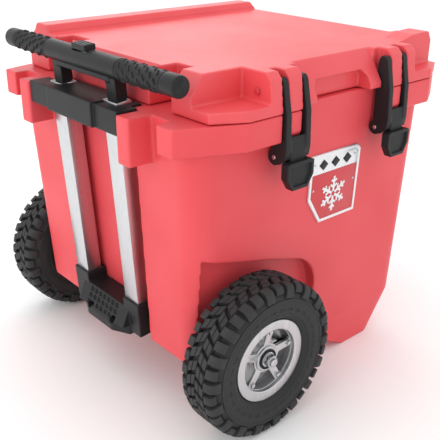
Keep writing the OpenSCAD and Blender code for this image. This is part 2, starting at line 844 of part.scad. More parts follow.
// Foot step with the two sockets that hold the outer tubes
module foot_step() {
    color("#24272a") place() difference() {
        union() {
            for (s = [-1, 1]) lean() span([-tube_d / 2 - 3, s * tube_y - tube_w / 2 - 3, outer_w0 - 4],
                [tube_d / 2 + 6, s * tube_y + tube_w / 2 + 3, 0]);
            along_y(-tube_y + 6, tube_y - 6)
                polygon([[step_lip, step_z0], [step_lip, step_z0 + 12], [-reach + step_front, step_z0 + 44],
                    [recess_x(step_z0 + 44) - 1, step_z0 + 44], [recess_x(step_z0) - 1, step_z0]]);
        }
        for (s = [-1, 1]) lean() span([-tube_d / 2, s * tube_y - tube_w / 2, outer_w0],
            [tube_d / 2, s * tube_y + tube_w / 2, 1]);
        for (s = [-1, 1]) step_corner(s);
        step_bolts(2.6, 18);
        translate([-reach + 4, 0, 0]) for (y = [-bolt_y, bolt_y]) translate([0, y, step_z0 + 16]) rotate([0, 90, 0])
            cylinder(r = 5.5, h = reach + recess_x(step_z0 + 16) - 12);
        intersection() {
            for (i = [-3:3], k = [0:2]) translate([-reach, i * 11 - 4, step_z0 + 17 + k * 9]) cube([60, 8, 6]);
            along_y(-tube_y, tube_y) polygon([[-reach, step_z0 + 12], [step_lip + 3, step_z0 + 12],
                [-reach + step_front + 3, step_z0 + 44], [-reach, step_z0 + 44]]);
        }
    }
}

// Cuts the front corners off the foot step
module step_corner(s) {
    translate([0, 0, step_z0 - 1]) linear_extrude(16)
        polygon([[-reach, s * 32], [step_lip, s * 32], [step_lip + 14, s * (tube_y - 5)], [-reach, s * (tube_y - 5)]]);
}

module step_screws() {
    color("#3a3d40") place() for (y = [-bolt_y, bolt_y]) {
        translate([recess_x(step_z0 + 16) + 17, y, step_z0 + 16]) rotate([0, -90, 0]) cylinder(r = screw_r, h = 24);
        translate([recess_x(step_z0 + 16) - 8, y, step_z0 + 16]) rotate([0, -90, 0]) cylinder(r = head_r, h = 3);
    }
}

// Black frame on top of the inner tubes: two legs and the housing of the grip bar
module handle_yoke() {
    color("#2d3033") place() difference() {
        union() {
            for (s = [-1, 1]) lean() {
                span([-leg_front, s * tube_y - leg_w / 2, outer_w1 + 0.6], [leg_back, s * tube_y + leg_w / 2, w_of_bar]);
                span([-inner_d / 2, s * tube_y - inner_w / 2, inner_w1], [inner_d / 2, s * tube_y + inner_w / 2, outer_w1 + 1]);
                span([-inner_d / 2 + tube_t, s * tube_y - inner_w / 2 + tube_t, inner_w1 - 30],
                    [inner_d / 2 - tube_t, s * tube_y + inner_w / 2 - tube_t, inner_w1 + 1]);
            }
            translate([bar_x, -housing_half, bar_z]) rotate([-90, 0, 0]) cylinder(d = grip_d + 1, h = 2 * housing_half);
            lean() span([-inner_d / 2 - 2, -tube_y, w_of_bar - grip_d / 2 - 4], [inner_d / 2 + 4, tube_y, w_of_bar]);
        }
        translate([bar_x, -housing_half - 1, bar_z]) rotate([-90, 0, 0]) cylinder(d = core_d, h = 2 * housing_half + 2);
        button_pocket(0.3, 0);
        for (s = [-1, 1]) lean() translate([0, s * tube_y, inner_w1 - 31]) cylinder(d = rod_d + 1, h = w_of_bar - core_d / 2 + 32 - inner_w1);
    }
}

module button_pocket(gap, drop) {
    lean() span([-button_w / 2 - gap, -button_l / 2 - gap, w_of_bar + core_d / 2 + 0.3 - drop],
        [button_w / 2 + gap, button_l / 2 + gap, w_of_bar + grip_d / 2 + 12]);
}

module grip_core() {
    color("#c3c7cb") place() translate([bar_x, -grip_end + cap_l / 2, bar_z]) rotate([-90, 0, 0]) difference() {
        cylinder(d = core_d, h = bar_l - cap_l);
        translate([0, 0, -1]) cylinder(d = core_d - 4, h = bar_l);
    }
}

module grip(s) {
    y0 = s < 0 ? -grip_end + cap_l : housing_half;
    color("#303336") place() translate([bar_x, y0, bar_z]) rotate([-90, 0, 0]) difference() {
        cylinder(d = grip_d, h = grip_end - cap_l - housing_half);
        translate([0, 0, -1]) cylinder(d = core_d + fit_gap, h = bar_l);
    }
}

module grip_caps() {
    color("#232629") place() both_sides() translate([bar_x, grip_end - cap_l, bar_z]) rotate([-90, 0, 0]) difference() {
        union() {
            cylinder(d = grip_d, h = cap_l - cap_edge);
            translate([0, 0, cap_l - cap_edge]) cylinder(d1 = grip_d, d2 = grip_d - 2 * cap_edge, h = cap_edge);
        }
        translate([0, 0, -1]) cylinder(d = core_d, h = cap_l / 2 + 1);
    }
}

module release_rods() {
    color("#9fa3a7") place() for (s = [-1, 1]) lean() union() {
        translate([0, s * tube_y, inner_w0 + pin_up])
            cylinder(d = rod_d, h = w_of_bar - core_d / 2 - 2 - inner_w0 - pin_up);
        translate([0, s * tube_y, inner_w0 + pin_up]) rotate([-s * 90, 0, 0]) cylinder(d = rod_d + 2, h = inner_w / 2);
    }
}

module release_button() {
    color("#1f2225") place() lean() difference() {
        span([-button_w / 2, -button_l / 2, w_of_bar + core_d / 2 + 0.6 + button_travel],
            [button_w / 2, button_l / 2, w_of_bar + grip_d / 2 + button_up + button_travel]);
        for (x = [-5, 0, 5]) span([x - 0.8, -button_l / 2 - 1, w_of_bar + grip_d / 2 + button_up + button_travel - 1.5],
            [x + 0.8, button_l / 2 + 1, w_of_bar + grip_d / 2 + 6 + button_travel]);
    }
}

module button_spring() {
    color("#b4b8bc") place() lean() for (y = [-button_l, button_l] * 0.3) translate([0, y, w_of_bar + core_d / 2 + 0.3]) difference() {
        cylinder(r = 3, h = button_travel + 0.2);
        translate([0, 0, -1]) cylinder(r = 2, h = button_travel + 2);
    }
}

// ---- axle ----

module axle() {
    color("#aeb2b6") place() translate([axle_x, -axle_half, axle_z]) rotate([-90, 0, 0])
        cylinder(d = axle_d, h = 2 * axle_half);
}

module strap_bolts(r, deep) {
    for (x = [-1, 1], y = [-150, 150]) translate([axle_x + x * 26, y, belly_z - 6]) cylinder(r = r, h = deep + 6);
}

module axle_straps() {
    color("#8d9196") place() for (y = [-150, 150]) difference() {
        union() {
            span([axle_x - 36, y - 12, belly_z - 2.5], [axle_x + 36, y + 12, belly_z]);
            span([axle_x - axle_d / 2 - 0.9, y - 12, belly_z - 1], [axle_x + axle_d / 2 + 0.9, y + 12, axle_z]);
        }
        translate([axle_x, -tub_w, axle_z]) rotate([-90, 0, 0]) cylinder(d = axle_d, h = 2 * tub_w);
        strap_bolts(2.6, 18);
    }
}

module strap_screws() {
    color("#3a3d40") place() for (x = [-1, 1], y = [-150, 150]) translate([axle_x + x * 26, y, 0]) union() {
        translate([0, 0, belly_z - 5.5]) cylinder(r = head_r, h = 3);
        translate([0, 0, belly_z - 3]) cylinder(r = screw_r, h = 20);
    }
}

hub_in = bearing_s + bearing_w / 2;

module axle_washers() {
    color("#9b9fa3") place() both_sides() translate([axle_x, 0, axle_z]) rotate([-90, 0, 0]) {
        difference() {
            translate([0, 0, track + hub_in + 0.3]) cylinder(d = 22, h = 1.5);
            cylinder(d = axle_d, h = track * 2);
        }
        difference() {
            translate([0, 0, well_y + 1]) cylinder(d = axle_d + 6, h = track - hub_in - 1.3 - well_y);
            cylinder(d = axle_d, h = track * 2);
        }
    }
}

module axle_nuts() {
    color("#c8ccd0") place() both_sides() translate([axle_x, 0, axle_z]) rotate([-90, 0, 0]) difference() {
        translate([0, 0, track + hub_in + 1.8]) cylinder(d = 19, h = 8, $fn = 6);
        cylinder(d = axle_d, h = track * 2);
    }
}

// ---- wheels ----

// Turns a wheel section, drawn as radius and distance outwards from the middle of the tyre, round the axle
module wheel(side) {
    place() translate([axle_x, side * track, axle_z]) rotate([-90 * side, 0, 0]) children();
}

module tyre(side) {
    color("#2e3033") wheel(side) difference() {
        rotate_extrude($fn = 96) difference() {
            polygon([[seat_r + 0.1, -rim_half + 5.4], [flange_r, -rim_half + 3.3], [flange_r + 2.5, -rim_half + 1],
                [flange_r + 16, -tyre_w / 2],
                [tyre_d / 2 - 18, -tyre_w / 2], [tyre_d / 2 - 3, -tyre_w / 2 + 5], [tyre_d / 2, -tyre_w / 4],
                [tyre_d / 2, tyre_w / 4], [tyre_d / 2 - 3, tyre_w / 2 - 5], [tyre_d / 2 - 18, tyre_w / 2],
                [flange_r + 16, tyre_w / 2], [flange_r + 2.5, rim_half - 1], [flange_r, rim_half - 3.3],
                [seat_r + 0.1, rim_half - 5.4]]);
            polygon([[seat_r - 1, -tyre_w / 2 + 18], [flange_r + 4, -tyre_w / 2 + 12], [flange_r + 18, -tyre_w / 2 + 6],
                [tyre_d / 2 - 20, -tyre_w / 2 + 7], [tyre_d / 2 - 10, -tyre_w / 2 + 14], [tyre_d / 2 - 10, tyre_w / 2 - 14],
                [tyre_d / 2 - 20, tyre_w / 2 - 7], [flange_r + 18, tyre_w / 2 - 6], [flange_r + 4, tyre_w / 2 - 12],
                [seat_r - 1, tyre_w / 2 - 18]]);
        }
        for (k = [0:23]) rotate(k * 15) for (s = [-1, 1])
            translate([tyre_d / 2 - 6, -2, s * (tyre_w / 2 - 7) - 7.5]) cube([8, 4, 15]);
    }
}

tube_mid_r = (seat_r + tyre_d / 2) / 2 - 2;
tube_r = 21;
stem_r = 30;

module air_tube(side) {
    color("#1a1b1d") wheel(side) difference() {
        union() {
            rotate_extrude($fn = 64) translate([tube_mid_r, 0]) circle(tube_r);
            rotate([0, 90, 0]) translate([0, 0, stem_r]) cylinder(d = 7, h = tube_mid_r - tube_r - stem_r + 2);
        }
        rotate_extrude($fn = 64) translate([tube_mid_r, 0]) circle(tube_r - 1.6);
        rotate([0, 90, 0]) translate([0, 0, stem_r - 1]) cylinder(d = 3, h = tube_mid_r - stem_r);
    }
}

// Two-part wheel with a dished outer face and five spokes; its outer flange is towards +Z here
module rim(side) {
    color("#c9cccf") wheel(side) difference() {
        union() {
            rotate_extrude($fn = 96) union() {
                polygon([[seat_r - rim_t, -rim_half + 2], [flange_r - 1, -rim_half], [flange_r, -rim_half + 3],
                    [seat_r, -rim_half + 5], [seat_r, rim_half - 5], [flange_r, rim_half - 3], [flange_r - 1, rim_half],
                    [seat_r - rim_t, rim_half - 2]]);
                polygon([[hub_r, rim_half - 18], [seat_r, rim_half - 12], [seat_r, rim_half - 8], [hub_r, rim_half - 11]]);
                polygon([[bearing_d / 2 - 2, -hub_in], [hub_r, -hub_in], [hub_r + 3, hub_in - 3], [hub_r, hub_in],
                    [bearing_d / 2 - 2, hub_in]]);
            }
        }
        for (s = [-1, 1]) translate([0, 0, s > 0 ? hub_in - bearing_w : -hub_in - 1]) cylinder(d = bearing_d, h = bearing_w + 1);
        for (k = [0:spoke_n - 1]) rotate(k * 360 / spoke_n + 36) translate([0, 0, rim_half - 30]) linear_extrude(30)
            polygon([for (a = [-22, -11, 0, 11, 22]) [(seat_r - rim_t - 3.5) * cos(a), (seat_r - rim_t - 3.5) * sin(a)],
                for (a = [14, 0, -14]) [(hub_r + 5.5) * cos(a), (hub_r + 5.5) * sin(a)]]);
        for (k = [0:spoke_n - 1]) rotate(k * 360 / spoke_n) translate([bolt_ring, 0, 0]) cylinder(r = 2, h = rim_half);
        rotate([0, 90, 0]) translate([0, 0, stem_r]) cylinder(d = 7, h = tube_mid_r - stem_r);
    }
}

module rim_bolts(side) {
    color("#8f9397") wheel(side) for (k = [0:spoke_n - 1]) rotate(k * 360 / spoke_n) translate([bolt_ring, 0, 0]) union() {
        translate([0, 0, rim_half - 15]) cylinder(r = 2 - fit_gap, h = 7);
        translate([0, 0, rim_half - 8.4]) cylinder(r = 3.5, h = 3, $fn = 6);
    }
}

module bearings(side) {
    color("#a5a9ad") wheel(side) for (s = [-1, 1]) translate([0, 0, s > 0 ? hub_in - bearing_w : -hub_in]) difference() {
        cylinder(d = bearing_d, h = bearing_w);
        translate([0, 0, -1]) cylinder(r = axle_d / 2 + run_gap, h = bearing_w + 2);
    }
}

module hub_spacer(side) {
    color("#8f9397") wheel(side) difference() {
        translate([0, 0, -hub_in + bearing_w]) cylinder(d = axle_d + 5, h = 2 * (hub_in - bearing_w));
        translate([0, 0, -hub_in]) cylinder(r = axle_d / 2 + run_gap, h = 3 * hub_in);
    }
}

tub_shell();
tub_foam();
tub_fill_plugs();
drain_fitting();
drain_seal();
drain_nut();
drain_plug();
drain_plug_ring();
lid_shell();
lid_foam();
lid_fill_plug();
lid_gasket();
lid_studs();
hinge_rod();
latch_frame(-latch_x);  // latch_frame_left
latch_pull(-latch_x);  // latch_pull_left
latch_pin(-latch_x);  // latch_pin_left
latch_frame(latch_x);  // latch_frame_right
latch_pull(latch_x);  // latch_pull_right
latch_pin(latch_x);  // latch_pin_right
badge_plate();
badge_rivets();
handle_bracket();
bracket_screws();
foot_step();
step_screws();
outer_tube(-tube_y);  // outer_tube_left
outer_tube(tube_y);  // outer_tube_right
middle_tube(-tube_y);  // middle_tube_left
middle_tube(tube_y);  // middle_tube_right
middle_glides();
inner_tube(-tube_y);  // inner_tube_left
inner_tube(tube_y);  // inner_tube_right
inner_glides();
handle_yoke();
grip_core();
grip(-1);  // grip_left
grip(1);  // grip_right
grip_caps();
release_rods();
release_button();
button_spring();
axle();
axle_straps();
strap_screws();
axle_washers();
axle_nuts();
tyre(-1);  // tyre_left
air_tube(-1);  // air_tube_left
rim(-1);  // rim_left
rim_bolts(-1);  // rim_bolts_left
bearings(-1);  // bearings_left
hub_spacer(-1);  // hub_spacer_left
tyre(1);  // tyre_right
air_tube(1);  // air_tube_right
rim(1);  // rim_right
rim_bolts(1);  // rim_bolts_right
bearings(1);  // bearings_right
hub_spacer(1);  // hub_spacer_right
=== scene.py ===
import json
import math

import bmesh
import bpy
from mathutils import Matrix, Vector


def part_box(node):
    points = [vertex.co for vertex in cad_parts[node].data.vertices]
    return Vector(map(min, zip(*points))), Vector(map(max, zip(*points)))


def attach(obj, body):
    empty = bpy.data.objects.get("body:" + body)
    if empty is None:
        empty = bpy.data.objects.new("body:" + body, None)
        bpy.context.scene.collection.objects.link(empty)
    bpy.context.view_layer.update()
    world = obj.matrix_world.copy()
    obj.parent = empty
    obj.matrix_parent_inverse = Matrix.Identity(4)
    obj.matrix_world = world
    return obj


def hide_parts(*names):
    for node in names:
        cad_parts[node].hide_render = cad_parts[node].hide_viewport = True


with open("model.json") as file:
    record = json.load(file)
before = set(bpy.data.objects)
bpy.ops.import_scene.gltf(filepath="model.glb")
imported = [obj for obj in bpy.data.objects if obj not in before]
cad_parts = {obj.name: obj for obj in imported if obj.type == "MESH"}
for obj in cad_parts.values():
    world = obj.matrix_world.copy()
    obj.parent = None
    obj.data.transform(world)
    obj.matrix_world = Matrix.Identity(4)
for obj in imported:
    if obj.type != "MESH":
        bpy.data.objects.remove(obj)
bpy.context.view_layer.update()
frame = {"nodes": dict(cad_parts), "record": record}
nodes = frame["nodes"]
scene = bpy.context.scene
mm = 0.001


def middleOf(node):
    low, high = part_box(node)
    return (low + high) / 2


# Camera, floor and light

cameraSetup = {
    "place": (-0.717, -0.8315, 0.6906),
    "turn": -41.4,        # degrees about the vertical
    "tilt": -24.0,        # degrees below the horizon
    "roll": 0.5,
    "lens": 59.65,
    "shift": (-0.0011, -0.0045),
}
stageSetup = {
    "floorSize": 30.0,
    "floorColor": (0.96, 0.96, 0.96, 1),
    "worldColor": (1.0, 1.0, 1.0, 1),
    "worldStrength": 1.12,
}
lampSetup = [
    # name, place, target, size, power
    ("topSoftbox", (-0.2, 0.5, 2.4), (0, 0, 0.3), 2.0, 7),
    ("leftSoftbox", (-2.4, 0.1, 1.1), (0, 0, 0.3), 1.4, 11),
    ("backRim", (1.2, 2.2, 1.6), (0, 0, 0.4), 1.4, 6),
]


def makeCamera():
    camera = bpy.data.objects.new("camera", bpy.data.cameras.new("camera"))
    scene.collection.objects.link(camera)
    camera.data.lens = cameraSetup["lens"]
    camera.data.sensor_width = 36
    turn = Matrix.Rotation(math.radians(cameraSetup["turn"]), 4, "Z")
    tilt = Matrix.Rotation(math.radians(90 + cameraSetup["tilt"]), 4, "X")
    roll = Matrix.Rotation(math.radians(cameraSetup["roll"]), 4, "Z")
    camera.matrix_world = Matrix.Translation(cameraSetup["place"]) @ turn @ tilt @ roll
    camera.data.shift_x, camera.data.shift_y = cameraSetup["shift"]
    camera.data.clip_start = 0.05
    scene.camera = camera


def makeStage():
    half = stageSetup["floorSize"] / 2
    mesh = bpy.data.meshes.new("floor")
    corners = [(-half, -half, 0), (half, -half, 0), (half, half, 0), (-half, half, 0)]
    mesh.from_pydata(corners, [], [(0, 1, 2, 3)])
    floor = bpy.data.objects.new("floor", mesh)
    scene.collection.objects.link(floor)
    material = bpy.data.materials.new("paleFloor")
    material.use_nodes = True
    shader = material.node_tree.nodes["Principled BSDF"]
    shader.inputs["Base Color"].default_value = stageSetup["floorColor"]
    shader.inputs["Roughness"].default_value = 0.9
    mesh.materials.append(material)
    world = bpy.data.worlds.new("studio")
    world.use_nodes = True
    background = world.node_tree.nodes["Background"]
    background.inputs["Color"].default_value = stageSetup["worldColor"]
    background.inputs["Strength"].default_value = stageSetup["worldStrength"]
    scene.world = world
    scene.view_settings.view_transform = "Standard"


def makeLamps():
    for name, place, target, size, power in lampSetup:
        lamp = bpy.data.lights.new(name, "AREA")
        lamp.shape = "SQUARE"
        lamp.size = size
        lamp.energy = power
        holder = bpy.data.objects.new(name, lamp)
        scene.collection.objects.link(holder)
        holder.location = place
        holder.rotation_mode = "QUATERNION"
        holder.rotation_quaternion = (Vector(target) - Vector(place)).to_track_quat("-Z", "Y")


makeCamera()
makeStage()
makeLamps()
print("camera, floor and lamps ready")


# Shared surface effects

def newGroup(name, inputs, outputs):
    group = bpy.data.node_groups.new(name, "ShaderNodeTree")
    for label, kind, value in inputs:
        socket = group.interface.new_socket(name=label, in_out="INPUT", socket_type=kind)
        socket.default_value = value
    for label, kind in outputs:
        group.interface.new_socket(name=label, in_out="OUTPUT", socket_type=kind)
    return group, group.nodes.new("NodeGroupInput"), group.nodes.new("NodeGroupOutput")


def addNode(tree, kind, **settings):
    node = tree.nodes.new(kind)
    for key, value in settings.items():
        setattr(node, key, value)
    return node


def noiseOf(tree, coordinates, scale, detail=4.0, rough=0.55, stretch=None):
    source = coordinates
    if stretch is not None:
        mapping = addNode(tree, "ShaderNodeMapping")
        mapping.inputs["Scale"].default_value = stretch
        tree.links.new(coordinates, mapping.inputs["Vector"])
        source = mapping.outputs["Vector"]
    noise = addNode(tree, "ShaderNodeTexNoise")
    noise.inputs["Detail"].default_value = detail
    noise.inputs["Roughness"].default_value = rough
    tree.links.new(source, noise.inputs["Vector"])
    if isinstance(scale, (int, float)):
        noise.inputs["Scale"].default_value = scale
    else:
        tree.links.new(scale, noise.inputs["Scale"])
    return noise.outputs["Fac"]


def ranged(tree, value, low, high, outLow, outHigh):
    node = addNode(tree, "ShaderNodeMapRange")
    tree.links.new(value, node.inputs["Value"])
    node.inputs["From Min"].default_value = low
    node.inputs["From Max"].default_value = high
    for key, limit in (("To Min", outLow), ("To Max", outHigh)):
        if isinstance(limit, (int, float)):
            node.inputs[key].default_value = limit
        else:
            tree.links.new(limit, node.inputs[key])
    return node.outputs["Result"]


def mixColor(tree, factor, first, second):
    node = addNode(tree, "ShaderNodeMix", data_type="RGBA")
    for socket, value in ((node.inputs[0], factor), (node.inputs[6], first), (node.inputs[7], second)):
        if isinstance(value, bpy.types.NodeSocket):
            tree.links.new(value, socket)
        else:
            socket.default_value = value
    return node.outputs[2]


def summed(tree, first, second, operation="ADD"):
    node = addNode(tree, "ShaderNodeMath", operation=operation)
    for socket, value in ((node.inputs[0], first), (node.inputs[1], second)):
        if isinstance(value, bpy.types.NodeSocket):
            tree.links.new(value, socket)
        else:
            socket.default_value = value
    return node.outputs[0]


def mouldedGroup():
    group, source, result = newGroup(
        "mouldedSurface",
        [("Color", "NodeSocketColor", (0.8, 0.1, 0.1, 1)),
         ("Cloud Color", "NodeSocketColor", (0.7, 0.1, 0.1, 1)),
         ("Cloud Scale", "NodeSocketFloat", 9.0), ("Grain Scale", "NodeSocketFloat", 900.0),
         ("Smooth", "NodeSocketFloat", 0.4), ("Rough", "NodeSocketFloat", 0.5)],
        [("Color", "NodeSocketColor"), ("Roughness", "NodeSocketFloat"), ("Height", "NodeSocketFloat")])
    where = addNode(group, "ShaderNodeTexCoord").outputs["Object"]
    clouds = noiseOf(group, where, source.outputs["Cloud Scale"], 3.0, 0.5)
    grain = noiseOf(group, where, source.outputs["Grain Scale"], 2.0, 0.6)
    pores = addNode(group, "ShaderNodeTexVoronoi")
    group.links.new(where, pores.inputs["Vector"])
    group.links.new(source.outputs["Grain Scale"], pores.inputs["Scale"])
    color = mixColor(group, ranged(group, clouds, 0.35, 0.7, 0.0, 1.0), source.outputs["Color"],
                     source.outputs["Cloud Color"])
    group.links.new(color, result.inputs["Color"])
    shine = ranged(group, summed(group, clouds, grain, "MULTIPLY"), 0.1, 0.45, source.outputs["Smooth"],
                   source.outputs["Rough"])
    group.links.new(shine, result.inputs["Roughness"])
    height = summed(group, grain, ranged(group, pores.outputs["Distance"], 0.0, 0.6, 0.0, 0.6), "ADD")
    group.links.new(height, result.inputs["Height"])
    return group


def brushedGroup():
    group, source, result = newGroup(
        "brushedSurface",
        [("Color", "NodeSocketColor", (0.8, 0.8, 0.8, 1)),
         ("Dull Color", "NodeSocketColor", (0.6, 0.6, 0.6, 1)),
         ("Stroke Scale", "NodeSocketFloat", 600.0), ("Smooth", "NodeSocketFloat", 0.2),
         ("Rough", "NodeSocketFloat", 0.4)],
        [("Color", "NodeSocketColor"), ("Roughness", "NodeSocketFloat"), ("Height", "NodeSocketFloat")])
    where = addNode(group, "ShaderNodeTexCoord").outputs["Object"]
    strokes = noiseOf(group, where, source.outputs["Stroke Scale"], 3.0, 0.6, (1.0, 1.0, 0.03))
    smudges = noiseOf(group, where, 24.0, 4.0, 0.6)
    color = mixColor(group, ranged(group, strokes, 0.3, 0.7, 0.0, 1.0), source.outputs["Color"],
                     source.outputs["Dull Color"])
    group.links.new(color, result.inputs["Color"])
    both = summed(group, summed(group, strokes, 0.5, "MULTIPLY"), summed(group, smudges, 0.5, "MULTIPLY"))
    group.links.new(ranged(group, both, 0.3, 0.7, source.outputs["Smooth"], source.outputs["Rough"]),
                    result.inputs["Roughness"])
    group.links.new(strokes, result.inputs["Height"])
    return group


def wearGroup():
    group, source, result = newGroup(
        "edgeWear",
        [("Start", "NodeSocketFloat", 0.52), ("End", "NodeSocketFloat", 0.6),
         ("Amount", "NodeSocketFloat", 0.3)],
        [("Mask", "NodeSocketFloat")])
    where = addNode(group, "ShaderNodeTexCoord").outputs["Object"]
    edge = addNode(group, "ShaderNodeNewGeometry").outputs["Pointiness"]
    node = addNode(group, "ShaderNodeMapRange")
    group.links.new(edge, node.inputs["Value"])
    group.links.new(source.outputs["Start"], node.inputs["From Min"])
    group.links.new(source.outputs["End"], node.inputs["From Max"])
    broken = ranged(group, noiseOf(group, where, 160.0), 0.35, 0.65, 0.2, 1.0)
    mask = summed(group, summed(group, node.outputs["Result"], broken, "MULTIPLY"), source.outputs["Amount"],
                  "MULTIPLY")
    group.links.new(mask, result.inputs["Mask"])
    return group


moulded = mouldedGroup()
brushed = brushedGroup()
edgeWear = wearGroup()


def makeMaterial(name, group, values, plain, bump, wear=None):
    material = bpy.data.materials.new(name)
    material.use_nodes = True
    tree = material.node_tree
    shader = tree.nodes["Principled BSDF"]
    effect = addNode(tree, "ShaderNodeGroup", node_tree=group)
    for key, value in values.items():
        effect.inputs[key].default_value = value
    color = effect.outputs["Color"]
    if wear is not None:
        rub = addNode(tree, "ShaderNodeGroup", node_tree=edgeWear)
        rub.inputs["Amount"].default_value = wear[1]
        color = mixColor(tree, rub.outputs["Mask"], color, wear[0])
    tree.links.new(color, shader.inputs["Base Color"])
    tree.links.new(effect.outputs["Roughness"], shader.inputs["Roughness"])
    for key, value in plain.items():
        shader.inputs[key].default_value = value
    ripple = addNode(tree, "ShaderNodeBump")
    ripple.inputs["Strength"].default_value = bump[0]
    ripple.inputs["Distance"].default_value = bump[1]
    tree.links.new(effect.outputs["Height"], ripple.inputs["Height"])
    tree.links.new(ripple.outputs["Normal"], shader.inputs["Normal"])
    return material


def plasticLook(name, color, cloud, smooth, rough, grainScale, bump, wear=None, **plain):
    return makeMaterial(name, moulded, {
        "Color": (*color, 1), "Cloud Color": (*cloud, 1), "Grain Scale": grainScale, "Smooth": smooth,
        "Rough": rough}, plain, bump, wear)


def metalLook(name, color, dull, smooth, rough, strokeScale, bump):
    return makeMaterial(name, brushed, {
        "Color": (*color, 1), "Dull Color": (*dull, 1), "Stroke Scale": strokeScale, "Smooth": smooth,
        "Rough": rough}, {"Metallic": 1.0}, bump)


darkShine = {"Specular IOR Level": 0.22}
looks = {
    "red_shell": plasticLook("coralShell", (0.74, 0.075, 0.088), (0.70, 0.064, 0.076), 0.40, 0.50, 700,
                             (0.12, 0.0004), ((0.90, 0.24, 0.25, 1), 0.25), **{"Specular IOR Level": 0.36}),
    "red_lid": plasticLook("coralLid", (0.76, 0.080, 0.092), (0.72, 0.068, 0.080), 0.36, 0.46, 700,
                           (0.12, 0.0004), ((0.90, 0.24, 0.25, 1), 0.25)),
    "red_small": plasticLook("coralTrim", (0.60, 0.045, 0.055), (0.54, 0.040, 0.050), 0.38, 0.5, 900,
                             (0.1, 0.0003)),
    "foam": plasticLook("pourFoam", (0.90, 0.80, 0.52), (0.84, 0.72, 0.42), 0.8, 0.95, 380, (0.6, 0.001)),
    "black_plastic": plasticLook("blackNylon", (0.012, 0.0125, 0.0135), (0.018, 0.0185, 0.020), 0.34, 0.5,
                                 1500, (0.25, 0.0003), ((0.07, 0.07, 0.075, 1), 0.3), **darkShine),
    "grip_rubber": plasticLook("gripRubber", (0.016, 0.0165, 0.0175), (0.022, 0.0225, 0.024), 0.5, 0.66, 1300,
                               (0.35, 0.0004), ((0.06, 0.06, 0.063, 1), 0.3), **darkShine),
    "seal_rubber": plasticLook("sealRubber", (0.012, 0.012, 0.013), (0.018, 0.018, 0.019), 0.5, 0.7, 900,
                               (0.25, 0.0003), **darkShine),
    "tyre_rubber": plasticLook("tyreRubber", (0.024, 0.0248, 0.026), (0.034, 0.0348, 0.036), 0.5, 0.68, 800,
                               (0.4, 0.0005), ((0.06, 0.06, 0.063, 1), 0.35), **darkShine),
    "satin_aluminium": metalLook("satinAluminium", (0.66, 0.67, 0.68), (0.56, 0.57, 0.59), 0.26, 0.4, 900,
                                 (0.08, 0.0002)),
    "silver_rim": metalLook("silverRim", (0.62, 0.62, 0.63), (0.53, 0.53, 0.54), 0.3, 0.42, 260,
                            (0.06, 0.0002)),
    "bright_steel": metalLook("brightSteel", (0.60, 0.61, 0.62), (0.46, 0.47, 0.49), 0.18, 0.34, 500,
                              (0.08, 0.0002)),
    "dark_screws": plasticLook("darkScrews", (0.05, 0.05, 0.055), (0.08, 0.08, 0.085), 0.25, 0.4, 1200,
                               (0.2, 0.0002), Metallic=0.8),
    "badge_metal": metalLook("badgeMetal", (0.80, 0.80, 0.81), (0.72, 0.72, 0.74), 0.3, 0.42, 500,
                             (0.06, 0.0002)),
}
slotOf = {part["node"]: part["material_slot"] for part in frame["record"]["subparts"]}
for node, cadObject in nodes.items():
    cadObject.data.materials.clear()
    cadObject.data.materials.append(looks[slotOf[node]])
print("materials ready:", len(looks))


# Mesh helpers

def joinedCopy(name, *sources):
    form = bmesh.new()
    for source in sources:
        form.from_mesh(nodes[source].data)
    bmesh.ops.remove_doubles(form, verts=form.verts, dist=0.000004)
    mesh = bpy.data.meshes.new(name)
    form.to_mesh(mesh)
    form.free()
    return mesh


def addPiece(name, mesh, body, slotName, replaced=(), sharp=None):
    piece = bpy.data.objects.new(name, mesh)
    scene.collection.objects.link(piece)
    mesh.materials.clear()
    mesh.materials.append(looks[slotName])
    mesh.polygons.foreach_set("use_smooth", [True] * len(mesh.polygons))
    if sharp is not None:
        mesh.set_sharp_from_angle(angle=math.radians(sharp))
    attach(piece, body)
    if replaced:
        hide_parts(*replaced)
    return piece


def shaped(name, mesh, *steps):
    # Runs modifiers over a mesh and returns the result as a plain mesh
    carrier = bpy.data.objects.new(name, mesh)
    scene.collection.objects.link(carrier)
    for kind, settings in steps:
        modifier = carrier.modifiers.new(kind.lower(), kind)
        for key, value in settings.items():
            setattr(modifier, key, value)
    graph = bpy.context.evaluated_depsgraph_get()
    result = bpy.data.meshes.new_from_object(carrier.evaluated_get(graph))
    bpy.data.objects.remove(carrier)
    result.name = name
    return result


def roundedMesh(name, sources, voxel, smoothing, triangles):
    # Rebuilds a hard-edged solid with soft moulded edges
    solid = joinedCopy(name, *sources)
    dense = shaped(name, solid, ("REMESH", {"mode": "VOXEL", "voxel_size": voxel, "adaptivity": 0.0}),
                   ("SMOOTH", {"factor": 0.5, "iterations": smoothing}))
    count = sum(len(face.vertices) - 2 for face in dense.polygons)
    if count > triangles:
        dense = shaped(name, dense, ("DECIMATE", {"ratio": triangles / count}))
    print(name, count, "triangles before,", len(dense.polygons), "after")
    return dense


# Softens the edges of a hard-edged CAD part without rebuilding it
def bevelledMesh(name, node, width, segments=2):
    form = bmesh.new()
    form.from_mesh(joinedCopy(name + "Source", node))
    bmesh.ops.dissolve_limit(form, angle_limit=math.radians(1), verts=form.verts, edges=form.edges)
    clean = bpy.data.meshes.new(name)
    form.to_mesh(clean)
    form.free()
    return shaped(name, clean, ("BEVEL", {"width": width, "segments": segments, "limit_method": "ANGLE",
                                          "angle_limit": math.radians(28)}))


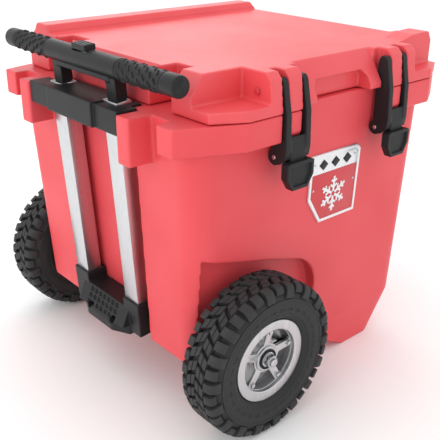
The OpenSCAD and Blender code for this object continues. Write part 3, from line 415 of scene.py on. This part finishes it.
# Turns a closed profile of (radius, distance) points, in millimetres, round the Y axis
def lathed(name, profile, steps):
    verts = []
    faces = []
    count = len(profile)
    for k in range(steps):
        turn = 2 * math.pi * k / steps
        for radius, along in profile:
            verts.append((radius * mm * math.cos(turn), along * mm, radius * mm * math.sin(turn)))
    for k in range(steps):
        here = k * count
        there = (k + 1) % steps * count
        for i in range(count):
            j = (i + 1) % count
            faces.append((here + i, here + j, there + j, there + i))
    mesh = bpy.data.meshes.new(name)
    mesh.from_pydata(verts, [], faces)
    return outward(mesh)


def outward(mesh):
    form = bmesh.new()
    form.from_mesh(mesh)
    bmesh.ops.recalc_face_normals(form, faces=form.faces)
    form.to_mesh(mesh)
    form.free()
    return mesh


# A prism between two outlines with the same number of points, in millimetres
def prism(name, first, second):
    count = len(first)
    verts = [tuple(value * mm for value in point) for point in first + second]
    faces = [tuple(range(count)), tuple(range(count, 2 * count))]
    faces += [(i, (i + 1) % count, count + (i + 1) % count, count + i) for i in range(count)]
    mesh = bpy.data.meshes.new(name)
    mesh.from_pydata(verts, [], faces)
    return outward(mesh)


# A flat plate with holes in the XY plane, in millimetres, with its edges rounded over
def plate(name, outlines, thick, edge):
    curve = bpy.data.curves.new(name, "CURVE")
    curve.dimensions = "2D"
    curve.fill_mode = "BOTH"
    curve.extrude = (thick / 2 - edge) * mm
    curve.bevel_depth = edge * mm
    curve.bevel_resolution = 1
    curve.offset = -edge * mm
    for outline in outlines:
        spline = curve.splines.new("POLY")
        spline.points.add(len(outline) - 1)
        for point, (x, y) in zip(spline.points, outline):
            point.co = (x * mm, y * mm, 0, 1)
        spline.use_cyclic_u = True
    carrier = bpy.data.objects.new(name, curve)
    scene.collection.objects.link(carrier)
    graph = bpy.context.evaluated_depsgraph_get()
    mesh = bpy.data.meshes.new_from_object(carrier.evaluated_get(graph))
    bpy.data.objects.remove(carrier)
    form = bmesh.new()
    form.from_mesh(mesh)
    bmesh.ops.remove_doubles(form, verts=form.verts, dist=0.000003)
    bmesh.ops.recalc_face_normals(form, faces=form.faces)
    form.to_mesh(mesh)
    form.free()
    return mesh


def polar(radius, degrees):
    return radius * math.cos(math.radians(degrees)), radius * math.sin(math.radians(degrees))


def combined(name, *meshes):
    form = bmesh.new()
    for mesh in meshes:
        form.from_mesh(mesh)
    result = bpy.data.meshes.new(name)
    form.to_mesh(result)
    form.free()
    return result


# Puts a mesh that was built outwards along +Y on the left or the right wheel
def atWheel(mesh, side):
    center = middleOf("tyre_left" if side < 0 else "tyre_right")
    if side < 0:
        mesh.transform(Matrix.Scale(-1, 4, (0, 1, 0)))
        mesh.flip_normals()
    mesh.transform(Matrix.Translation(center))
    return mesh


# Repeats an item in rings round the Y axis, in rows along it
def ringTool():
    tree = bpy.data.node_groups.new("ringRows", "GeometryNodeTree")
    tree.interface.new_socket(name="Geometry", in_out="OUTPUT", socket_type="NodeSocketGeometry")
    for label, kind in (("Item", "Object"), ("Count", "Int"), ("Rows", "Int"), ("Row Pitch", "Float"),
                        ("Stagger", "Float"), ("Phase", "Float"), ("Jitter", "Float"), ("Seed", "Int"),
                        ("Material", "Material")):
        tree.interface.new_socket(name=label, in_out="INPUT", socket_type="NodeSocket" + kind)
    source = addNode(tree, "NodeGroupInput").outputs
    result = addNode(tree, "NodeGroupOutput")
    index = addNode(tree, "GeometryNodeInputIndex").outputs[0]
    row = summed(tree, summed(tree, index, source["Count"], "DIVIDE"), 0.0, "FLOOR")
    total = summed(tree, source["Count"], source["Rows"], "MULTIPLY")
    step = summed(tree, 2 * math.pi, source["Count"], "DIVIDE")
    shift = summed(tree, summed(tree, row, 2.0, "MODULO"), source["Stagger"], "MULTIPLY")
    angle = summed(tree, summed(tree, summed(tree, index, shift), step, "MULTIPLY"), source["Phase"])
    loose = addNode(tree, "FunctionNodeRandomValue", data_type="FLOAT")
    tree.links.new(summed(tree, source["Jitter"], -1.0, "MULTIPLY"), loose.inputs[2])
    tree.links.new(source["Jitter"], loose.inputs[3])
    tree.links.new(source["Seed"], loose.inputs["Seed"])
    place = addNode(tree, "ShaderNodeCombineXYZ")
    tree.links.new(summed(tree, row, source["Row Pitch"], "MULTIPLY"), place.inputs[1])
    turn = addNode(tree, "ShaderNodeCombineXYZ")
    tree.links.new(summed(tree, angle, loose.outputs[1]), turn.inputs[1])
    points = addNode(tree, "GeometryNodePoints")
    tree.links.new(total, points.inputs["Count"])
    tree.links.new(place.outputs[0], points.inputs["Position"])
    item = addNode(tree, "GeometryNodeObjectInfo")
    tree.links.new(source["Item"], item.inputs["Object"])
    copies = addNode(tree, "GeometryNodeInstanceOnPoints")
    tree.links.new(points.outputs[0], copies.inputs["Points"])
    tree.links.new(item.outputs["Geometry"], copies.inputs["Instance"])
    tree.links.new(turn.outputs[0], copies.inputs["Rotation"])
    real = addNode(tree, "GeometryNodeRealizeInstances")
    tree.links.new(copies.outputs[0], real.inputs[0])
    dress = addNode(tree, "GeometryNodeSetMaterial")
    tree.links.new(real.outputs[0], dress.inputs["Geometry"])
    tree.links.new(source["Material"], dress.inputs["Material"])
    tree.links.new(dress.outputs[0], result.inputs[0])
    return tree


ringRows = ringTool()


def ringOf(name, mesh, slotName, count, rows=1, rowPitch=0.0, stagger=0.5, phase=0.0, jitter=0.0, seed=7):
    item = bpy.data.objects.new(name + "Item", mesh)
    carrier = bpy.data.objects.new(name, bpy.data.meshes.new(name + "Carrier"))
    for thing in (item, carrier):
        scene.collection.objects.link(thing)
    modifier = carrier.modifiers.new("rings", "NODES")
    modifier.node_group = ringRows
    values = {"Item": item, "Count": count, "Rows": rows, "Row Pitch": rowPitch * mm, "Stagger": stagger,
              "Phase": math.radians(phase), "Jitter": math.radians(jitter), "Seed": seed,
              "Material": looks[slotName]}
    for socket in ringRows.interface.items_tree:
        if socket.name in values:
            modifier[socket.identifier] = values[socket.name]
    graph = bpy.context.evaluated_depsgraph_get()
    result = bpy.data.meshes.new_from_object(carrier.evaluated_get(graph))
    result.name = name
    for thing in (item, carrier):
        bpy.data.objects.remove(thing)
    return result


# Tub and lid

shellShape = {"voxel": 0.0018, "smoothing": 4, "triangles": 190000}
lidShape = {"voxel": 0.0015, "smoothing": 3, "triangles": 190000}

addPiece("tubShell", roundedMesh("tubShell", ["tub_shell", "tub_foam"], **shellShape), "tub", "red_shell",
         ["tub_shell", "tub_foam"])
addPiece("lidShell", roundedMesh("lidShell", ["lid_shell", "lid_foam"], **lidShape), "lid", "red_lid",
         ["lid_shell", "lid_foam"])
print("tub and lid ready")

# Black mouldings

mouldings = [
    # piece, CAD node, body, voxel, smoothing
    ("handleYoke", "handle_yoke", "handle_top", 0.0009, 5),
    ("handleBracket", "handle_bracket", "tub", 0.0010, 4),
    ("footStep", "foot_step", "tub", 0.0010, 3),
    ("latchFrameLeft", "latch_frame_left", "latch_left", 0.0007, 5),
    ("latchFrameRight", "latch_frame_right", "latch_right", 0.0007, 5),
    ("latchPullLeft", "latch_pull_left", "latch_left", 0.0006, 4),
    ("latchPullRight", "latch_pull_right", "latch_right", 0.0006, 4),
    ("releaseButton", "release_button", "button", 0.0005, 3),
]
for name, node, body, voxel, smoothing in mouldings:
    addPiece(name, roundedMesh(name, [node], voxel, smoothing, 120000), body, "black_plastic", [node])
print("black mouldings ready")

# Metal and small parts with softened edges

softened = [
    # piece, CAD node, body, edge in millimetres
    ("outerTubeLeft", "outer_tube_left", "tub", 0.8),
    ("outerTubeRight", "outer_tube_right", "tub", 0.8),
    ("middleTubeLeft", "middle_tube_left", "handle_middle", 0.8),
    ("middleTubeRight", "middle_tube_right", "handle_middle", 0.8),
    ("innerTubeLeft", "inner_tube_left", "handle_top", 0.8),
    ("innerTubeRight", "inner_tube_right", "handle_top", 0.8),
    ("axleNuts", "axle_nuts", "tub", 0.5),
    ("axleWashers", "axle_washers", "tub", 0.3),
    ("axleRod", "axle", "tub", 1.0),
    ("lidStuds", "lid_studs", "lid", 0.9),
    ("latchPinLeft", "latch_pin_left", "tub", 0.6),
    ("latchPinRight", "latch_pin_right", "tub", 0.6),
    ("drainFitting", "drain_fitting", "tub", 0.8),
    ("drainPlug", "drain_plug", "drain_cap", 0.8),
    ("drainNut", "drain_nut", "tub", 0.6),
    ("bracketScrews", "bracket_screws", "tub", 0.6),
    ("stepScrews", "step_screws", "tub", 0.6),
    ("strapScrews", "strap_screws", "tub", 0.6),
    ("axleStraps", "axle_straps", "tub", 0.5),
    ("hingeRod", "hinge_rod", "tub", 0.8),
]
for name, node, body, edge in softened:
    addPiece(name, bevelledMesh(name, node, edge * mm), body, slotOf[node], [node], sharp=35)
print("softened parts ready")

# Tyres

tyreShape = {
    "steps": 144,
    "pitches": 18,
    "phase": 4.0,
    "lugHalf": 6.3,       # half width of a shoulder lug at its top
    "blockHalf": 6.6,     # half width of a block on the crown
    "skew": 8.0,          # how far a crown block runs forward towards the shoulder
    "barCount": 30,
}
treadTop = 113.9          # radius of the tread's outer face
# Radius and distance from the middle plane, from the bead outwards to the crown
carcass = [(51.4, 19.6), (56.0, 20.6), (60.4, 21.4), (61.6, 22.8), (63.4, 25.0), (66.4, 27.6), (69.0, 29.2),
           (69.6, 30.3), (71.4, 30.9), (72.2, 30.5), (76.0, 31.2), (82.0, 31.6), (88.0, 31.2), (90.4, 31.0),
           (91.0, 31.7), (93.0, 31.5), (93.6, 30.0), (98.0, 28.4), (102.0, 25.4), (105.0, 21.0),
           (107.0, 14.0), (107.8, 6.0)]
cavity = [(100.0, 8.0), (98.0, 16.0), (92.0, 22.0), (82.0, 26.0), (70.0, 24.0), (60.0, 18.0), (52.0, 17.0)]
longLug = [(94.5, 29.9), (96.5, 32.6), (105.0, 31.8), (110.8, 29.2), (113.2, 25.0), (treadTop, 16.2),
           (106.0, 15.4), (101.0, 22.0), (97.0, 27.0)]
shortLug = [(101.0, 26.4), (102.5, 30.4), (107.0, 30.0), (111.4, 27.6), (113.4, 23.0), (treadTop, 17.4),
            (106.0, 16.6), (102.0, 22.0)]


def lugMesh(name, section, half, at):
    outlines = []
    for sign in (-1, 1):
        line = []
        for radius, along in section:
            wide = half + (treadTop - radius) * 0.06
            line.append((radius, along, sign * wide))
        outlines.append(line)
    lug = shaped(name, prism(name, *outlines), ("BEVEL", {"width": 0.0007, "segments": 1,
                                                          "limit_method": "ANGLE"}))
    lug.transform(Matrix.Rotation(math.radians(at), 4, "Y"))
    return lug


def crownBlock(name, inner, outer, skew, half, at):
    outlines = []
    for radius, extra in ((105.0, 0.5), (treadTop, 0.0)):
        outlines.append([(radius, inner - extra, -half - extra), (radius, outer + extra, skew - half - extra),
                         (radius, outer + extra, skew + half + extra), (radius, inner - extra, half + extra)])
    block = shaped(name, prism(name, *outlines), ("BEVEL", {"width": 0.0006, "segments": 1,
                                                            "limit_method": "ANGLE"}))
    block.transform(Matrix.Rotation(math.radians(at), 4, "Y"))
    return block


def otherSide(mesh):
    turned = mesh.copy()
    turned.transform(Matrix.Scale(-1, 4, (0, 1, 0)))
    turned.flip_normals()
    return turned


def tyrePitch():
    half = tyreShape["lugHalf"]
    wide = tyreShape["blockHalf"]
    skew = tyreShape["skew"]
    step = 180 / tyreShape["pitches"]
    lead = math.degrees(skew / 114)
    near = combined("nearLugs", lugMesh("longLug", longLug, half, 0),
                    lugMesh("shortLug", shortLug, half, step),
                    crownBlock("blockOne", 8.2, 15.0, skew * 0.5, wide, lead * 0.5 + 4.0),
                    crownBlock("blockTwo", 8.2, 16.0, skew * 0.5, wide, step + lead * 0.5 + 4.0),
                    crownBlock("blockThree", 0.7, 7.2, skew * 0.5, wide, lead + 4.0),
                    crownBlock("blockFour", 0.7, 7.2, skew * 0.5, wide, step + lead + 4.0))
    far = otherSide(near)
    far.transform(Matrix.Rotation(math.radians(step * 0.35), 4, "Y"))
    return combined("tyrePitch", near, far)


def sideBars():
    # Short raised bars in place of any sidewall marking
    bars = []
    for turn, low, high, half in ((0, 76.0, 80.5, 1.1), (3.1, 76.0, 80.5, 0.7), (5.4, 77.4, 79.2, 1.6)):
        lower = [(low, 30.9, -half), (high, 31.2, -half), (high, 31.2, half), (low, 30.9, half)]
        upper = [(radius, along + 0.9, across * 0.8) for radius, along, across in lower]
        bar = prism("bar", lower, upper)
        bar.transform(Matrix.Rotation(math.radians(turn), 4, "Y"))
        bars.append(bar)
    return combined("sideBars", *bars)


for side, label in ((-1, "left"), (1, "right")):
    wholeProfile = carcass + [(radius, -along) for radius, along in reversed(carcass)]
    wholeProfile += [(radius, -along) for radius, along in reversed(cavity)] + cavity
    body = lathed("tyreBody", wholeProfile, tyreShape["steps"])
    treads = ringOf("treads", tyrePitch(), "tyre_rubber", tyreShape["pitches"], phase=tyreShape["phase"])
    bars = ringOf("bars", sideBars(), "tyre_rubber", tyreShape["barCount"])
    tyreName = "tyre" + label.capitalize()
    tyre = atWheel(combined(tyreName, body, treads, bars, otherSide(bars)), side)
    addPiece(tyreName, tyre, "wheel_" + label, "tyre_rubber", ["tyre_" + label], sharp=32)
print("tyres ready")

# Rims

rimShape = {
    "spokes": 5,
    "phase": -13.0,
    "spokeHalf": 4.8,
    "windowIn": 22.0,
    "windowOut": 45.5,
    "plateThick": 5.0,
    "plateAt": 13.5,
    "boltRing": 41.0,
}
barrel = [(47.6, 24.2), (58.4, 24.8), (60.2, 24.3), (60.8, 23.0), (60.2, 21.8), (57.0, 21.2), (52.0, 20.4),
          (51.0, 18.6), (51.0, -18.6), (52.0, -20.4), (57.0, -21.2), (60.2, -21.8), (60.8, -23.0),
          (60.2, -24.3), (58.4, -24.8), (48.6, -23.6), (47.6, -20.0), (47.2, 0.0), (46.4, 12.0),
          (46.2, 20.0), (46.6, 23.4)]
hub = [(12.2, 17.6), (13.0, 18.2), (17.6, 18.2), (18.6, 17.4), (19.4, 12.0), (20.4, 9.0), (18.6, 8.0),
       (17.4, -17.0), (16.8, -17.8), (12.2, -17.8)]
# The dished back of the wheel, seen through the windows
backDish = [(46.6, 4.0), (45.6, -2.0), (40.0, -7.5), (30.0, -11.0), (17.6, -12.5), (17.6, -14.5),
            (31.0, -13.2), (42.0, -9.4), (47.4, -3.0)]
# Black ring over the inner hub face and round the axle: painted shade standing in for the shaded bore of the
# hub
hubSeal = [(11.3, 18.2), (14.8, 18.0), (14.8, 19.6), (13.9, 20.4), (12.2, 20.4), (11.3, 19.8)]
boltProfile = [(0.01, 4.0), (2.2, 4.0), (3.4, 3.4), (3.9, 2.2), (3.9, 1.0), (5.2, 0.9), (5.2, 0.0),
               (0.01, 0.0)]


def windowOutline(center):
    half = rimShape["spokeHalf"]
    steps = 10
    points = []
    for radius, order in ((rimShape["windowOut"], 1), (rimShape["windowIn"], -1)):
        reach = 180 / rimShape["spokes"] - math.degrees(math.asin(half / radius))
        soft = 0.93 if order > 0 else 0.8
        angles = [center + order * reach * soft * (2 * k / steps - 1) for k in range(steps + 1)]
        points += [polar(radius, angle) for angle in angles]
        # Rounded inner corners of the window
        corner = center + order * reach
        inside = radius - order * 2.4
        points.append(polar(inside, corner))
    return points


def rimMesh():
    circle = [polar(48.0, k * 5) for k in range(72)]
    bore = [polar(16.0, k * 10) for k in range(36)]
    gap = 360 / rimShape["spokes"]
    windows = [windowOutline((k + 0.5) * gap) for k in range(rimShape["spokes"])]
    disc = plate("disc", [circle, bore] + windows, rimShape["plateThick"], 0.9)
    # The plate was drawn in XY: turn it to face along Y and dish it towards the hub
    disc.transform(Matrix.Rotation(math.radians(-90), 4, "X"))
    disc.transform(Matrix.Rotation(math.radians(rimShape["phase"]), 4, "Y"))
    for vert in disc.vertices:
        radius = math.hypot(vert.co.x, vert.co.z)
        vert.co.y += rimShape["plateAt"] * mm + (radius - 0.030) * 0.12
    return combined("rim", disc, lathed("barrel", barrel, 120), lathed("hub", hub, 48),
                    lathed("backDish", backDish, 96))


def boltItem():
    bolt = lathed("bolt", boltProfile, 6)
    bolt.transform(Matrix.Translation((rimShape["boltRing"] * mm, (rimShape["plateAt"] + 3.4) * mm, 0)))
    return bolt


for side, label in ((-1, "left"), (1, "right")):
    rimName = "rim" + label.capitalize()
    addPiece(rimName, atWheel(rimMesh(), side), "wheel_" + label, "silver_rim", ["rim_" + label], sharp=35)
    bolts = ringOf("rimBolts", boltItem(), "bright_steel", rimShape["spokes"], phase=rimShape["phase"])
    # The black rubber ring at the hub is painted shade: it stands in for the shaded bore round the axle
    boreShadeName = "hubSeal" + label.capitalize()
    boreShadeRing = atWheel(lathed(boreShadeName, hubSeal, 48), side)
    addPiece(boreShadeName, boreShadeRing, "wheel_" + label, "seal_rubber", sharp=35)
    boltName = "rimBolts" + label.capitalize()
    addPiece(boltName, atWheel(bolts, side), "wheel_" + label, "bright_steel", ["rim_bolts_" + label],
             sharp=30)
print("rims ready")

# Grips and their end caps

gripShape = {
    "inner": 86.0,        # distance of the sleeve from the middle of the bar
    "outer": 176.0,
    "end": 202.0,
    "radius": 13.5,
    "rows": 8,
    "perRing": 7,
    "pitch": 10.4,
    "rise": 1.4,
}


def dashItem():
    # A short curved bar that lies on the sleeve
    low = gripShape["radius"] - 0.5
    high = gripShape["radius"] + gripShape["rise"]
    verts = []
    faces = []
    steps = 7
    for k in range(steps):
        share = k / (steps - 1) * 2 - 1
        turn = math.radians(share * 17)
        along = 2.0 * math.sin(share * 2.4)
        thin = 1.15 * (1 - 0.45 * share * share)
        top = high - 0.7 * share * share
        for radius, side in ((low, -thin), (top, -thin * 0.6), (top, thin * 0.6), (low, thin)):
            verts.append((radius * mm * math.cos(turn), (along + side) * mm, radius * mm * math.sin(turn)))
    for k in range(steps - 1):
        for i in range(4):
            j = (i + 1) % 4
            faces.append((k * 4 + i, k * 4 + j, k * 4 + 4 + j, k * 4 + 4 + i))
    faces += [(0, 1, 2, 3), tuple(steps * 4 - 4 + i for i in range(4))]
    mesh = bpy.data.meshes.new("dash")
    mesh.from_pydata(verts, [], faces)
    return outward(mesh)


def onBar(mesh, side):
    if side < 0:
        mesh.transform(Matrix.Scale(-1, 4, (0, 1, 0)))
        mesh.flip_normals()
    bar = middleOf("grip_core")
    mesh.transform(Matrix.Translation((bar.x, bar.y, bar.z)))
    return mesh


radius = gripShape["radius"]
inner = gripShape["inner"]
outer = gripShape["outer"]
end = gripShape["end"]
bore = 8.05
sleeve = [(bore, inner), (radius - 0.8, inner), (radius + 0.3, inner + 0.9), (radius + 0.3, inner + 3),
          (radius, inner + 3.6), (radius - 0.1, outer - 4), (radius + 0.2, outer - 3.4),
          (radius + 0.2, outer - 1.2), (radius - 0.7, outer - 0.2), (bore, outer - 0.2)]
cap = [(bore, outer + 0.2), (radius - 0.7, outer + 0.2), (radius, outer + 1), (radius, end - 3.2),
       (radius - 0.35, end - 1.6), (radius - 1.2, end - 0.5), (radius - 2.6, end), (2.0, end + 0.25),
       (0.01, end + 0.25), (0.01, end - 13), (bore, end - 13)]
capMeshes = []
for side, label in ((-1, "left"), (1, "right")):
    dashes = ringOf("dashes", dashItem(), "grip_rubber", gripShape["perRing"], rows=gripShape["rows"],
                    rowPitch=gripShape["pitch"], jitter=1.5, phase=10)
    dashes.transform(Matrix.Translation((0, (inner + 8) * mm, 0)))
    gripName = "grip" + label.capitalize()
    grip = combined(gripName, lathed("sleeve", sleeve, 48), dashes)
    addPiece(gripName, onBar(grip, side), "handle_top", "grip_rubber", ["grip_" + label], sharp=40)
    capMeshes.append(onBar(lathed("cap", cap, 48), side))
addPiece("gripCaps", combined("gripCaps", *capMeshes), "handle_top", "black_plastic", ["grip_caps"], sharp=40)
print("grips ready")

# Badge: a plate with a raised border, a red field with a plain snowflake, and a band of dark diamonds

badgeShape = {
    "width": 105.0,
    "height": 106.0,
    "cut": (27.0, 40.0),
    "nip": 8.0,
    "border": 5.0,
    "band": 30.0,         # height of the plain band at the top
    "armLength": 27.0,
    "armHalf": 2.0,
    "diamond": (9.0, 8.0),
    "diamondGap": 25.0,
}


def badgeOutline(inset):
    wide = badgeShape["width"] / 2 - inset
    tall = badgeShape["height"] / 2 - inset
    cutX, cutY = badgeShape["cut"]
    nip = badgeShape["nip"]
    soft = inset * 0.5
    return [(-wide, tall), (wide - nip + soft, tall), (wide, tall - nip + soft), (wide, -tall),
            (-wide + cutX - soft, -tall), (-wide, -tall + cutY - soft)]


def barMesh(start, end, half, low, high):
    direction = (Vector(end) - Vector(start)).normalized()
    across = Vector((-direction.y, direction.x)) * half
    flat = [Vector(start) - across, Vector(end) - across, Vector(end) + across, Vector(start) + across]
    lower = [(point.x, point.y, low) for point in flat]
    upper = [(point.x, point.y, high) for point in flat]
    return prism("bar", lower, upper)


def snowflakeMesh():
    length = badgeShape["armLength"]
    half = badgeShape["armHalf"]
    pieces = [barMesh((3.5, 0), (length, 0), half, 0.6, 1.9)]
    for at, reach in ((0.38, 8.0), (0.68, 6.5)):
        for sign in (-1, 1):
            tip = polar(reach, sign * 58)
            pieces.append(barMesh((length * at, 0), (length * at + tip[0], tip[1]), half * 0.8, 0.6, 1.8))
    arm = combined("arm", *pieces)
    # Stands the arm up so that the ring tool turns it, then lays the ring back
    arm.transform(Matrix.Rotation(math.radians(-90), 4, "X"))
    star = ringOf("star", arm, "badge_metal", 6, phase=30)
    star.transform(Matrix.Rotation(math.radians(90), 4, "X"))
    return star


def onBadge(mesh):
    # Lays a shape drawn in XY on the leaning wall, at the CAD plate
    low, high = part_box("badge_plate")
    center = (low + high) / 2
    lean = math.atan2((high.y - low.y) - 0.0012, high.z - low.z)
    mesh.transform(Matrix.Rotation(math.radians(90) + lean, 4, "X"))
    mesh.transform(Matrix.Translation((center.x, center.y, center.z)))
    return mesh


base = plate("badgeBase", [badgeOutline(0)], 1.2, 0.3)
border = plate("badgeBorder", [badgeOutline(0.4), badgeOutline(badgeShape["border"])], 1.6, 0.4)
border.transform(Matrix.Translation((0, 0, 0.0011)))
addPiece("badgePlate", onBadge(combined("badgePlate", base, border)), "tub", "badge_metal", ["badge_plate"],
         sharp=35)


def fieldOutline():
    # The red field is the badge outline below the band
    inset = badgeShape["border"] - 0.1
    top = badgeShape["height"] / 2 - badgeShape["band"]
    sides = badgeOutline(inset)
    return [(sides[0][0], top), (sides[3][0], top)] + sides[3:]


def diamondsMesh():
    wide, tall = badgeShape["diamond"]
    middle = badgeShape["height"] / 2 - (badgeShape["band"] + badgeShape["border"]) / 2
    pieces = []
    for k in (-1, 0, 1):
        x = k * badgeShape["diamondGap"]
        outline = [(x + wide, middle), (x, middle + tall), (x - wide, middle), (x, middle - tall)]
        pieces.append(plate("diamond", [outline], 1.0, 0.25))
    return combined("badgeDiamonds", *pieces)


field = plate("badgeField", [fieldOutline()], 0.8, 0.2)
field.transform(Matrix.Translation((0, 0, 0.0007)))
star = snowflakeMesh()
star.transform(Matrix.Translation((0, -0.0135, 0.0002)))
marks = diamondsMesh()
marks.transform(Matrix.Translation((0, 0, 0.0009)))
addPiece("badgeField", onBadge(field), "tub", "red_small", sharp=35)
addPiece("badgeStar", onBadge(star), "tub", "badge_metal", sharp=35)
addPiece("badgeDiamonds", onBadge(marks), "tub", "black_plastic", sharp=35)
print("badge ready")
